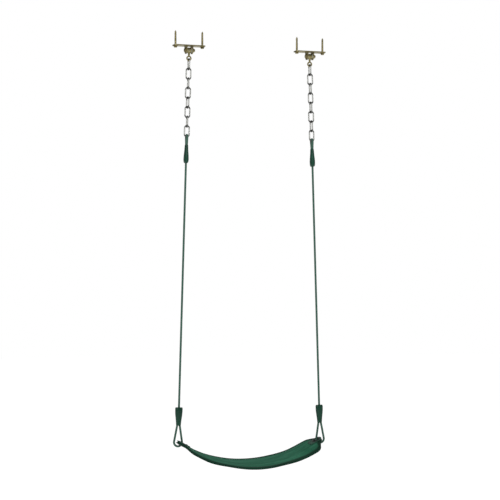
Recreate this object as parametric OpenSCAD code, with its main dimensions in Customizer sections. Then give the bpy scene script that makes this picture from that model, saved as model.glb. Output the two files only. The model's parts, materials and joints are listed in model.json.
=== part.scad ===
// Belt swing: one complete swing that hangs from the underside of a beam.
// X runs along the beam, Z up, and the rider faces -Y. The origin is on the beam's
// underside, midway between the two hangers. Every length is in millimetres.

/* [Hangers] */
// Distance between the two hangers, along the beam
hanger_spacing = 517; // [480:1:540]
// Length of a hanger plate, along the beam
plate_length = 130; // [128:1:150]
// Width of a hanger plate
plate_width = 40; // [38:1:60]
// Thickness of a hanger plate
plate_thickness = 4; // [3:0.5:5]
// Distance between a plate's two lag screws
screw_spacing = 112; // [100:1:112]
// Depth of the pivot bolt's axis below the beam
pivot_depth = 20; // [19:0.5:24]
// Diameter of the pivot bolt
pivot_bolt_d = 9.5; // [8:0.1:9.5]
// Diameter of the lag screws
lag_d = 7.94; // [6:0.01:8]
// Height that the lag screws reach into the beam
lag_reach = 58; // [50:1:75]

/* [Chain] */
// Links in each chain
link_count = 8; // [8:1:8]
// Diameter of the chain's wire
link_wire_d = 5.5; // [5:0.1:5.6]
// Length inside a link
link_inner_length = 38.5; // [36:0.5:42]
// Width inside a link
link_inner_width = 14; // [13:0.5:16]
// Gap left where two links bear on each other
link_gap = 0.3; // [0.2:0.05:0.4]

/* [Ropes] */
// Diameter of the rope
rope_d = 8.5; // [8:0.1:9.2]
// Distance between the centres of the two lower loops
loop_spacing = 604; // [580:1:620]
// Length of rope from the upper clamp to the lower clamp
rope_run = 968; // [900:1:1100]
// Radius of the upper loop's bend, at the rope's centre
upper_bend_r = 9.5; // [9:0.1:11]
// Length from the upper bend's centre to its clamp
upper_loop_reach = 30; // [26:1:34]
// Radius of the lower loop's bend, at the rope's centre
lower_bend_r = 16.5; // [16:0.1:18]
// Length from the lower bend's centre to its clamp
lower_loop_reach = 65; // [60:1:75]
// Length of a moulded rope clamp
clamp_length = 72; // [65:1:80]
// Width of a clamp's wide end
clamp_width = 30; // [28:0.5:34]
// Thickness of a clamp's wide end
clamp_depth = 20.5; // [19:0.5:24]

/* [Seat] */
// Width of the belt, front to back
belt_width = 165; // [150:1:170]
// Thickness of the belt
belt_thickness = 6; // [5:0.5:7]
// Slope of the belt's ends
belt_end_angle = 27.5; // [24:0.5:34]
// Length of a belt end, from the end of the curve to the rope
belt_end_length = 60; // [60:1:64]
// Angle that the front edge hangs down by
seat_tilt = 8.3; // [0:0.1:12]
// Distance that the ropes are fixed behind the belt's middle
seat_offset = 8.5; // [0:0.1:14]
// Thickness of an end plate
end_plate_thickness = 2.5; // [2:0.1:3]

/* [Hidden] */
$fn = 48;
sides = ["left", "right"];

zinc_yellow = [0.66, 0.58, 0.33];
zinc_grey = [0.62, 0.64, 0.64];
nylon_white = [0.88, 0.87, 0.82];
rope_green = [0.12, 0.32, 0.23];
clamp_green = [0.05, 0.24, 0.15];
belt_green = [0.13, 0.36, 0.26];
plate_black = [0.05, 0.11, 0.08];
rivet_grey = [0.35, 0.38, 0.36];

// Hanger
plate_corner_r = 9;
ear_gap = 21.2;
ear_thickness = 3.5;
ear_r = 15;
lag_hole_r = 4.6;
lag_head_d = 14.6;
lag_head_h = 5.5;
lag_washer_r = 9;
lag_washer_h = 1.6;
lag_shank_h = 30;
lag_neck_r = 4.3;
lag_thread_pitch = 3;
lag_thread_depth = 0.8;
pivot_bolt_r = pivot_bolt_d / 2;
pivot_hole_r = pivot_bolt_r + 0.25;
pivot_head_d = 16.5;
pivot_head_h = 5.5;
nut_h = 6.5;
nut_collar_r = 7;
nut_collar_h = 1.9;
bolt_beyond_nut = 2;

// Swing eye: a barrel on the pivot bolt, a neck and a ring for the chain
barrel_length = 18;
barrel_r = 10.5;
bushing_r = 6.5;
bushing_flange_r = 9.5;
bushing_flange_h = 1.3;
running_clearance = 0.05;
neck_r = 4.5;
ring_drop = 32;
ring_r = 8;
ring_wire_r = 3;

// Chain: each link hangs one pitch below the last, turned a quarter turn
link_wire_r = link_wire_d / 2;
link_bend_r = link_inner_width / 2 + link_wire_r;
link_arc_z = link_inner_length / 2 + link_wire_r - link_bend_r;
link_half = link_inner_length / 2 + link_wire_r;
link_pitch = link_inner_length - link_gap;

// Rope line, measured down from the middle of the first link's top wire
rope_r = rope_d / 2;
rope_sides = 12;
line_top_z = -pivot_depth - ring_drop - ring_r + ring_wire_r + link_wire_r + link_gap;
chain_length = (link_count - 1) * link_pitch + 2 * link_half;
upper_bend_s = chain_length - link_wire_r - link_gap - rope_r + upper_bend_r;
upper_clamp_s = upper_bend_s + upper_loop_reach;
rope_top_s = upper_clamp_s + clamp_length;
rope_end_s = rope_top_s + rope_run;
lower_clamp_s = rope_end_s + clamp_length;
lower_bend_s = lower_clamp_s + lower_loop_reach;
line_lean = asin((loop_spacing - hanger_spacing) / 2 / lower_bend_s);
strand_x = 4.4;
strand_in_clamp = 34;
clamp_neck_width = 19.5;
clamp_neck_depth = 12.5;
clamp_round = 3;

// Seat: a curved belt with two straight ends, hung on the lower loops
rope_x = loop_spacing / 2 - lower_bend_r * cos(belt_end_angle);
seat_z = line_top_z - lower_bend_s * cos(line_lean) - lower_bend_r * sin(belt_end_angle);
belt_r = (rope_x - belt_end_length * cos(belt_end_angle)) / sin(belt_end_angle);
belt_sag = belt_r * (1 - cos(belt_end_angle)) + belt_end_length * sin(belt_end_angle);
rim_r = 4.3;
eyelet_x = belt_end_length - 2;
eyelet_bore_r = 9.5;
eyelet_flare_r = 7;
eyelet_body_r = 14.5;
eyelet_flange_r = 17.5;
belt_tip_r = 21;
belt_corner_r = 32;
belt_corner_x = 18;
end_plate_r = 23.5;
end_plate_back_x = 33;
end_plate_back_y = 14;
end_plate_corner_r = 8;
rivet_shank_r = 3.2;
rivet_head_r = 6;
rivet_head_h = 3;
rivet_places = [[33, -14], [33, 14]];

// ---- frames ----

function side_of(name) = name == "left" ? -1 : 1;

module at_hanger(side) {
    translate([side_of(side) * hanger_spacing / 2, 0, 0]) children();
}

module at_pivot(side) {
    at_hanger(side) translate([0, 0, -pivot_depth]) children();
}

// A distance down the leaning rope line from the middle of the first link's top wire
module on_line(side, distance) {
    at_hanger(side)
        translate([0, 0, line_top_z])
            rotate([0, -side_of(side) * line_lean, 0])
                translate([0, 0, -distance]) children();
}

module in_seat() {
    translate([0, 0, seat_z]) rotate([seat_tilt, 0, 0]) children();
}

// At the end of the belt's curve: X runs outward along the straight end, Z out of its top.
module at_belt_end(side) {
    in_seat()
        mirror([side == "left" ? 1 : 0, 0, 0])
            translate([belt_r * sin(belt_end_angle), 0, belt_r * (1 - cos(belt_end_angle)) - belt_sag])
                rotate([0, -belt_end_angle, 0]) children();
}

// ---- shapes that repeat ----

module cylinder_x(r, from, to) {
    translate([from, 0, 0]) rotate([0, 90, 0]) cylinder(r = r, h = to - from);
}

module hexagon_x(d, from, to) {
    translate([from, 0, 0]) rotate([0, 90, 0]) cylinder(d = d, h = to - from, $fn = 6);
}

module at_screws() {
    for (x = [-1, 1] * screw_spacing / 2) translate([x, 0, 0]) children();
}

// Angle that a loop's legs lean in by, from its bend to its clamp
function leg_angle(bend_r, reach) =
    atan2(reach, strand_x) - acos(bend_r / norm([reach, strand_x]));

// Points round a bend in a plane, from one leg to the other: [across, up] of its centre
function bend_points(bend_r, reach) =
    let (lean = leg_angle(bend_r, reach), steps = 14, turn = (180 + 2 * lean) / steps)
    [for (step = [0:steps]) bend_r * [cos(step * turn - lean), sin(step * turn - lean)]];

// The rope's route down the line: tail, upper loop, run, lower loop and tail again. The
// upper loop lies in the YZ plane and the lower one in the XZ plane.
function upper_route() = concat(
    [[0, strand_x, -upper_clamp_s - strand_in_clamp], [0, strand_x, -upper_clamp_s - 6]],
    [for (point = bend_points(upper_bend_r, upper_loop_reach))
        [0, point[0], point[1] - upper_bend_s]],
    [[0, -strand_x, -upper_clamp_s - 6], [0, -strand_x, -upper_clamp_s - strand_in_clamp - 4],
     [0, 0, -upper_clamp_s - clamp_length + 10], [0, 0, -rope_top_s - 10]]);
function lower_route() = concat(
    [[0, 0, -rope_end_s + 10], [0, 0, -lower_clamp_s + clamp_length - 10],
     [-strand_x, 0, -lower_clamp_s + strand_in_clamp + 4], [-strand_x, 0, -lower_clamp_s + 6]],
    [for (point = bend_points(lower_bend_r, lower_loop_reach))
        [-point[0], 0, -point[1] - lower_bend_s]],
    [[strand_x, 0, -lower_clamp_s + 6], [strand_x, 0, -lower_clamp_s + strand_in_clamp]]);

function unit(v) = v / norm(v);

// One ring of points round the route. Each half of the route bends in one plane, whose
// normal stays one axis of its rings, so the tube never twists.
function rope_ring(route, i, upper_count) =
    let (last = len(route) - 1,
         along = unit(route[min(i + 1, last)] - route[max(i - 1, 0)]),
         first_axis = i < upper_count ? [1, 0, 0] : cross([0, -1, 0], along),
         second_axis = i < upper_count ? cross(along, first_axis) : [0, -1, 0])
    [for (step = [0:rope_sides - 1])
        let (angle = step * 360 / rope_sides)
        route[i] + rope_r * (cos(angle) * first_axis + sin(angle) * second_axis)];

module rope_solid(side) {
    route = concat(upper_route(), lower_route());
    upper_count = len(upper_route());
    last = len(route) - 1;
    points = [for (i = [0:last]) each rope_ring(route, i, upper_count)];
    walls = [for (i = [0:last - 1], step = [0:rope_sides - 1])
        let (a = i * rope_sides + step, b = i * rope_sides + (step + 1) % rope_sides)
        each [[a, a + rope_sides, b + rope_sides], [a, b + rope_sides, b]]];
    ends = [[for (step = [0:rope_sides - 1]) step],
            [for (step = [rope_sides - 1:-1:0]) last * rope_sides + step]];
    on_line(side, 0) polyhedron(points, concat(walls, ends));
}

// A flat oval plug, narrow at the loop (Z = 0) and wide where the rope comes out below.
module clamp_body() {
    sections = [[0, clamp_neck_width, clamp_neck_depth],
                [clamp_length - 5 * clamp_round, clamp_width, clamp_depth],
                [clamp_length - clamp_round, clamp_width - 1, clamp_depth - 1],
                [clamp_length, clamp_width - clamp_round - 2, clamp_depth - clamp_round - 2]];
    hull()
        for (section = sections)
            translate([0, 0, -section[0]])
                linear_extrude(0.01, center = true)
                    scale([section[1] / 2, section[2] / 2]) circle(1, $fn = 32);
}

module end_outline() {
    hull() {
        translate([eyelet_x, 0]) circle(end_plate_r);
        for (y = [-1, 1] * end_plate_back_y)
            translate([end_plate_back_x, y]) circle(end_plate_corner_r);
    }
}

module end_plate(z) {
    difference() {
        translate([0, 0, z]) linear_extrude(end_plate_thickness) end_outline();
        translate([eyelet_x, 0, z - 1])
            cylinder(r = eyelet_body_r + 2 * running_clearance, h = end_plate_thickness + 2);
        rivet_holes();
    }
}

module rivet_holes() {
    for (place = rivet_places)
        translate([place[0], place[1], -20])
            cylinder(r = rivet_shank_r + running_clearance, h = 40);
}

// ---- hangers ----

module hanger_plate(side) {
    inner_length = plate_length - 2 * plate_corner_r;
    inner_width = plate_width - 2 * plate_corner_r;
    color(zinc_yellow) at_hanger(side) difference() {
        union() {
            translate([-inner_length / 2, -plate_width / 2, -plate_thickness])
                cube([inner_length, plate_width, plate_thickness]);
            translate([-plate_length / 2, -inner_width / 2, -plate_thickness])
                cube([plate_length, inner_width, plate_thickness]);
            for (x = [-1, 1] * inner_length / 2, y = [-1, 1] * inner_width / 2)
                translate([x, y, -plate_thickness])
                    cylinder(r = plate_corner_r, h = plate_thickness);
            for (x = [-ear_gap / 2 - ear_thickness, ear_gap / 2]) {
                translate([x, -ear_r, -pivot_depth])
                    cube([ear_thickness, 2 * ear_r, pivot_depth - plate_thickness / 2]);
                translate([0, 0, -pivot_depth]) cylinder_x(ear_r, x, x + ear_thickness);
            }
        }
        translate([0, 0, -pivot_depth]) cylinder_x(pivot_hole_r, -ear_gap, ear_gap);
        at_screws() translate([0, 0, -2 * plate_thickness])
            cylinder(r = lag_hole_r, h = 3 * plate_thickness);
    }
}

module lag_screws(side) {
    lag_r = lag_d / 2;
    head_z = -plate_thickness - lag_washer_h;
    thread_h = lag_reach - lag_shank_h - 2 * lag_thread_pitch;
    turns = floor(thread_h / lag_thread_pitch);
    thread = [for (turn = [0:turns - 1], half = [0, 1])
        [lag_r - (half == 0 ? lag_thread_depth : 0),
         lag_shank_h + (turn + half / 2) * lag_thread_pitch]];
    color(zinc_yellow) at_hanger(side) at_screws() {
        translate([0, 0, head_z - lag_head_h]) cylinder(d = lag_head_d, h = lag_head_h, $fn = 6);
        translate([0, 0, head_z]) cylinder(r = lag_neck_r, h = -head_z);
        cylinder(r = lag_r, h = lag_shank_h);
        rotate_extrude()
            polygon(concat([[0, lag_shank_h]], thread,
                [[lag_r - lag_thread_depth, lag_shank_h + turns * lag_thread_pitch],
                 [0, lag_reach]]));
    }
}

module lag_washers(side) {
    color(zinc_yellow) at_hanger(side) at_screws()
        translate([0, 0, -plate_thickness - lag_washer_h]) difference() {
            cylinder(r = lag_washer_r, h = lag_washer_h);
            translate([0, 0, -1]) cylinder(r = lag_neck_r + running_clearance, h = lag_washer_h + 2);
        }
}

module pivot_bolt(side) {
    head_x = -ear_gap / 2 - ear_thickness;
    color(zinc_yellow) at_pivot(side) {
        hexagon_x(pivot_head_d, head_x - pivot_head_h, head_x);
        cylinder_x(pivot_bolt_r, head_x, -head_x + nut_h + nut_collar_h + bolt_beyond_nut);
    }
}

module pivot_nut(side) {
    nut_x = ear_gap / 2 + ear_thickness;
    color(zinc_grey) at_pivot(side) difference() {
        union() {
            hexagon_x(pivot_head_d, nut_x, nut_x + nut_h);
            cylinder_x(nut_collar_r, nut_x + nut_h, nut_x + nut_h + nut_collar_h);
        }
        cylinder_x(pivot_bolt_r + running_clearance, nut_x - 1, nut_x + nut_h + nut_collar_h + 1);
    }
}

module pivot_bushings(side) {
    color(nylon_white) at_pivot(side)
        for (end = [0, 1]) mirror([end, 0, 0]) difference() {
            union() {
                cylinder_x(bushing_r, 0.1, barrel_length / 2);
                cylinder_x(bushing_flange_r, barrel_length / 2, barrel_length / 2 + bushing_flange_h);
            }
            cylinder_x(pivot_bolt_r + running_clearance, -1, barrel_length);
        }
}

module swing_eye(side) {
    color(zinc_yellow) at_pivot(side) difference() {
        union() {
            cylinder_x(barrel_r, -barrel_length / 2, barrel_length / 2);
            translate([0, 0, -ring_drop + ring_r])
                cylinder(r = neck_r, h = ring_drop - ring_r - bushing_r);
            translate([0, 0, -ring_drop])
                rotate([90, 0, 0]) rotate_extrude() translate([ring_r, 0]) circle(ring_wire_r);
        }
        cylinder_x(bushing_r, -barrel_length, barrel_length);
    }
}

// ---- chains ----

module chain_link(side, number) {
    color(zinc_grey)
        on_line(side, (number - 1) * link_pitch + link_half)
            rotate([0, 0, number % 2 == 1 ? 90 : 0]) {
                for (end = [0, 180])
                    rotate([0, end, 0])
                        translate([0, 0, link_arc_z])
                            rotate([90, 0, 0])
                                rotate_extrude(angle = 180)
                                    translate([link_bend_r, 0]) circle(link_wire_r);
                for (x = [-1, 1] * link_bend_r)
                    translate([x, 0, 0]) cylinder(r = link_wire_r, h = 2 * link_arc_z, center = true);
            }
}

// ---- ropes ----

module rope(side) {
    color(rope_green) rope_solid(side);
}

module upper_clamp(side) {
    color(clamp_green) difference() {
        on_line(side, upper_clamp_s) rotate([0, 0, 90]) clamp_body();
        rope_solid(side);
    }
}

module lower_clamp(side) {
    color(clamp_green) difference() {
        on_line(side, lower_clamp_s) rotate([180, 0, 0]) clamp_body();
        rope_solid(side);
    }
}

// ---- seat ----

module seat_belt() {
    rim_y = belt_width / 2 - rim_r;
    color(belt_green) difference() {
        union() {
            in_seat()
                translate([0, 0, belt_r - belt_sag])
                    rotate([90, 0, 0])
                        rotate([0, 0, -90 - belt_end_angle])
                            rotate_extrude(angle = 2 * belt_end_angle, $fn = 96)
                                translate([belt_r, seat_offset]) {
                                    square([belt_thickness, 2 * rim_y], center = true);
                                    for (y = [-1, 1] * rim_y) translate([0, y]) circle(rim_r);
                                }
            for (side = sides)
                at_belt_end(side)
                    linear_extrude(belt_thickness, center = true) belt_end_outline();
        }
        for (side = sides) at_belt_end(side) rivet_holes();
    }
}

// The belt's end tapers from its full width to a round tip about the eyelet.
module belt_end_outline() {
    shoulder_y = belt_width / 2 - rim_r;
    difference() {
        hull() {
            translate([0, -seat_offset - shoulder_y]) square([0.1, 2 * shoulder_y]);
            for (side = [-1, 1])
                translate([belt_corner_x, side * (shoulder_y - belt_corner_r) - seat_offset])
                    circle(belt_corner_r);
            translate([eyelet_x, 0]) circle(belt_tip_r);
        }
        translate([eyelet_x, 0]) circle(eyelet_body_r + 2 * running_clearance);
    }
}

module top_end_plate(side) {
    color(plate_black) at_belt_end(side) end_plate(belt_thickness / 2);
}

module bottom_end_plate(side) {
    color(plate_black) at_belt_end(side) end_plate(-belt_thickness / 2 - end_plate_thickness);
}

// A spool with a bell-mouthed hole for the rope, rolled over both end plates.
module eyelet(side) {
    half = belt_thickness / 2 + end_plate_thickness;
    flange = eyelet_flare_r - half;
    color(plate_black) at_belt_end(side) translate([eyelet_x, 0, 0])
        rotate_extrude()
            difference() {
                translate([0, -eyelet_flare_r]) {
                    square([eyelet_body_r, 2 * eyelet_flare_r]);
                    for (y = [0, eyelet_flare_r + half])
                        translate([0, y]) square([eyelet_flange_r, flange]);
                }
                difference() {
                    translate([-1, -eyelet_flare_r - 1])
                        square([eyelet_bore_r + eyelet_flare_r + 1, 2 * eyelet_flare_r + 2]);
                    translate([eyelet_bore_r + eyelet_flare_r, 0]) circle(eyelet_flare_r);
                }
            }
}

module rivets(side) {
    half = belt_thickness / 2 + end_plate_thickness;
    dome_r = (rivet_head_r * rivet_head_r + rivet_head_h * rivet_head_h) / 2 / rivet_head_h;
    color(rivet_grey) at_belt_end(side)
        for (place = rivet_places) translate([place[0], place[1], 0]) {
            cylinder(r = rivet_shank_r, h = 2 * half, center = true);
            for (end = [0, 1]) mirror([0, 0, end])
                translate([0, 0, half]) intersection() {
                    translate([0, 0, rivet_head_h - dome_r]) sphere(dome_r);
                    cylinder(r = rivet_head_r, h = rivet_head_h);
                }
        }
}

// ---- assembly ----

for (side = sides) {
    hanger_plate(side);
    lag_screws(side);
    lag_washers(side);
    pivot_bolt(side);
    pivot_nut(side);
    pivot_bushings(side);
    swing_eye(side);
    for (number = [1:link_count])
        chain_link(side, number);
    rope(side);
    upper_clamp(side);
    lower_clamp(side);
    top_end_plate(side);
    bottom_end_plate(side);
    eyelet(side);
    rivets(side);
}
seat_belt();
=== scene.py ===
import json
import math

import bpy
import numpy as np
from mathutils import Matrix, Vector


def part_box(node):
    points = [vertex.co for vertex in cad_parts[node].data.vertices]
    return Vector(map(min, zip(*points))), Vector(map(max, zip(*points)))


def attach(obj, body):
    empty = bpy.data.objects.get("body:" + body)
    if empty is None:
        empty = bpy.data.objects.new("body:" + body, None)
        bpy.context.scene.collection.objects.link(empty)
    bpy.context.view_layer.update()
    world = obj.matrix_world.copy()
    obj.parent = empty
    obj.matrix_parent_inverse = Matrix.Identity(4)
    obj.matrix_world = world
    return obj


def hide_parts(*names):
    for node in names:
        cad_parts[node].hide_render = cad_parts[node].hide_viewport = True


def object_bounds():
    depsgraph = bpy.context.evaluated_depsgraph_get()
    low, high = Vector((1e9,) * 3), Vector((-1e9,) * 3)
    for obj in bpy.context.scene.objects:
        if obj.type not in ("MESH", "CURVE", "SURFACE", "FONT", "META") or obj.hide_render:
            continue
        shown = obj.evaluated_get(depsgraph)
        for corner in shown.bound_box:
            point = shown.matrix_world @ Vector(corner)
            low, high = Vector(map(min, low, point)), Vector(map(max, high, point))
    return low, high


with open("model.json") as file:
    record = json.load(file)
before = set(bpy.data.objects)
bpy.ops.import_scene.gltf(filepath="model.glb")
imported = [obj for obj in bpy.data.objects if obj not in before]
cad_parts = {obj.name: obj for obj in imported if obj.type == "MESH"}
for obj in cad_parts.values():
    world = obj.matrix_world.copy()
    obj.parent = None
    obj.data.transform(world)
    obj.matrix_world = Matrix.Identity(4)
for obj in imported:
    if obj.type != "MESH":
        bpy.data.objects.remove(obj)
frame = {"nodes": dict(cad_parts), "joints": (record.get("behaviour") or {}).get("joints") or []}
CAD_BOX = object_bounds()

# Sizes in metres, the same as the CAD part's own
SIDES = {"left": -1, "right": 1}
JOINT_Z = {joint["name"]: joint["pos_m"][2] for joint in frame["joints"]}
PIVOT_Z = JOINT_Z["swing"]
SEAT_Z = JOINT_Z["seat_tilt"]
LINK_COUNT = 8
HANGER_X = sum(corner.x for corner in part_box("right_swing_eye")) / 2
LOOP_X = 0.302
LINK_WIRE_R = 0.00275
LINK_HALF = 0.022
LINK_BEND_R = 0.00975
LINK_PITCH = 0.0382
LINE_TOP_Z = -0.05395

ROPE_R = 0.00425
STRAND_X = 0.0044
STRAND_IN_CLAMP = 0.034
CLAMP_LENGTH = 0.072
UPPER_BEND_S = 0.3136
UPPER_BEND_R = 0.0095
UPPER_CLAMP_S = 0.3436
ROPE_TOP_S = UPPER_CLAMP_S + CLAMP_LENGTH
ROPE_END_S = 1.3836
LOWER_CLAMP_S = ROPE_END_S + CLAMP_LENGTH
LOWER_BEND_S = 1.5206
LOWER_BEND_R = 0.0165
LINE_LEAN = math.asin((LOOP_X - HANGER_X) / LOWER_BEND_S)

SEAT_TILT = math.radians(8.3)
SEAT_OFFSET = 0.0085
BELT_END_ANGLE = math.radians(27.5)
BELT_END_LENGTH = 0.060
BELT_HALF_WIDTH = 0.0825
BELT_THICKNESS = 0.006
ROPE_X = LOOP_X - LOWER_BEND_R * math.cos(BELT_END_ANGLE)
BELT_R = (ROPE_X - BELT_END_LENGTH * math.cos(BELT_END_ANGLE)) / math.sin(BELT_END_ANGLE)
BELT_SAG = BELT_R * (1 - math.cos(BELT_END_ANGLE)) + BELT_END_LENGTH * math.sin(BELT_END_ANGLE)
EYELET_X = BELT_END_LENGTH - 0.002
BELT_TIP_R = 0.021
BELT_CORNER_R = 0.032
BELT_CORNER_X = 0.018


CAMERA_PLACE = (-2.50, -6.915, -1.063)
CAMERA_LENS = 132


# ---- camera ----

def make_camera():
    """Where the photographer stood: left of the swing's middle, at seat-to-beam height."""
    low, high = CAD_BOX
    centre = (low + high) / 2
    data = bpy.data.cameras.new("camera")
    camera = bpy.data.objects.new("camera", data)
    bpy.context.scene.collection.objects.link(camera)
    camera.location = CAMERA_PLACE
    toward = Vector((0, 0, centre.z)) - camera.location
    camera.rotation_euler = toward.to_track_quat("-Z", "Y").to_euler()
    data.sensor_width = 36
    data.lens = CAMERA_LENS
    data.clip_start = 0.05
    data.clip_end = 60
    bpy.context.scene.camera = camera


# ---- frames of reference ----

def line_frame(side, distance):
    """The leaning rope line's frame, a distance down it from the first link's top wire."""
    sign = SIDES[side]
    lean = Matrix.Rotation(-sign * LINE_LEAN, 4, "Y")
    top = Matrix.Translation((sign * HANGER_X, 0, LINE_TOP_Z))
    return top @ lean @ Matrix.Translation((0, 0, -distance))


def seat_frame():
    """The belt's own frame: its lowest point is straight below the origin, before the tilt."""
    return Matrix.Translation((0, 0, SEAT_Z)) @ Matrix.Rotation(SEAT_TILT, 4, "X")


def belt_end_frame(side):
    """X runs outward along the belt's straight end, and Z out of its top."""
    start = Matrix.Translation((BELT_R * math.sin(BELT_END_ANGLE), 0,
                                BELT_R * (1 - math.cos(BELT_END_ANGLE)) - BELT_SAG))
    local = start @ Matrix.Rotation(-BELT_END_ANGLE, 4, "Y")
    if side == "left":
        local = Matrix.Diagonal((-1, 1, 1, 1)) @ local
    return seat_frame() @ local


def pivot_frame(side):
    """The pivot bolt's middle, with X along the bolt."""
    return Matrix.Translation((SIDES[side] * HANGER_X, 0, PIVOT_Z))


# ---- mesh helpers ----

def make_piece(name, points, faces, place, material, body, slot, smooth=True):
    mesh = bpy.data.meshes.new(name)
    mesh.from_pydata([tuple(place @ Vector(point)) for point in points], [], faces)
    if place.determinant() < 0:
        mesh.flip_normals()
    mesh.validate()
    if smooth:
        mesh.shade_smooth()
    piece = bpy.data.objects.new(name, mesh)
    bpy.context.scene.collection.objects.link(piece)
    mesh.materials.append(material)
    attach(piece, body)
    return piece


def join_parts(parts):
    """One point list and face list from several."""
    points, faces = [], []
    for part_points, part_faces in parts:
        base = len(points)
        points += [tuple(point) for point in part_points]
        faces += [[base + index for index in face] for face in part_faces]
    return points, faces


def moved(part, place):
    points, faces = part
    return [tuple(place @ Vector(point)) for point in points], faces


def grid_faces(rows, columns, closed_rows=False):
    """Quads over a grid whose columns close on themselves."""
    faces = []
    for row in range(rows if closed_rows else rows - 1):
        below = row * columns
        above = ((row + 1) % rows) * columns
        for column in range(columns):
            after = (column + 1) % columns
            faces.append([below + column, below + after, above + after, above + column])
    return faces


def lathe(profile, segments=64):
    """Turns (radius, z) points round Z. A closed profile makes a ring."""
    points = [(radius * math.cos(turn), radius * math.sin(turn), z)
              for radius, z in profile
              for turn in (math.tau * step / segments for step in range(segments))]
    return points, grid_faces(len(profile), segments, closed_rows=True)


def solid_lathe(profile, segments=64):
    """Turns an open profile that starts and ends on the axis."""
    points = [(0, 0, profile[0][1])]
    for radius, z in profile[1:-1]:
        points += [(radius * math.cos(turn), radius * math.sin(turn), z)
                   for turn in (math.tau * step / segments for step in range(segments))]
    points.append((0, 0, profile[-1][1]))
    rings = len(profile) - 2
    faces = [[0, 1 + (step + 1) % segments, 1 + step] for step in range(segments)]
    faces += [[1 + index for index in face] for face in grid_faces(rings, segments)]
    last = len(points) - 1
    base = 1 + (rings - 1) * segments
    faces += [[last, base + step, base + (step + 1) % segments] for step in range(segments)]
    return points, faces


def smooth_step(value):
    value = min(max(value, 0.0), 1.0)
    return value * value * (3 - 2 * value)


def resample(route, step):
    """Points a step apart along a polyline."""
    route = np.array(route, float)
    lengths = np.linalg.norm(np.diff(route, axis=0), axis=1)
    travel = np.concatenate([[0], np.cumsum(lengths)])
    count = max(2, int(round(travel[-1] / step)) + 1)
    at = np.linspace(0, travel[-1], count)
    return np.stack([np.interp(at, travel, route[:, axis]) for axis in range(3)], 1), at


def carried_axes(points, first_axis):
    """Rings' axes along a path, carried from ring to ring so that the tube never twists."""
    along = np.gradient(points, axis=0)
    along /= np.linalg.norm(along, axis=1)[:, None]
    axes = np.empty((len(points), 2, 3))
    axis = np.array(first_axis, float)
    for index, direction in enumerate(along):
        axis = axis - direction * axis.dot(direction)
        axis /= np.linalg.norm(axis)
        axes[index] = axis, np.cross(direction, axis)
    return axes


def tube(points, axes, radius_at, segments):
    """A closed tube whose radius is a function of ring number and angle."""
    turns = np.linspace(0, math.tau, segments, endpoint=False)
    rows = []
    for index, centre in enumerate(points):
        radii = radius_at(index, turns)
        rows.append(centre + radii[:, None] * (np.cos(turns)[:, None] * axes[index][0]
                                               + np.sin(turns)[:, None] * axes[index][1]))
    faces = grid_faces(len(points), segments)
    faces.append(list(range(segments - 1, -1, -1)))
    faces.append([(len(points) - 1) * segments + step for step in range(segments)])
    return [tuple(point) for row in rows for point in row], faces


def cut_with(piece, cutter, solver):
    """Takes the cutter out of the piece, applies all its modifiers and drops the cutter."""
    cut = piece.modifiers.new("cut", "BOOLEAN")
    cut.object = cutter
    cut.solver = solver
    graph = bpy.context.evaluated_depsgraph_get()
    mesh = bpy.data.meshes.new_from_object(piece.evaluated_get(graph))
    piece.modifiers.clear()
    piece.data = mesh
    bpy.data.objects.remove(cutter)


# ---- materials ----

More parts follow.
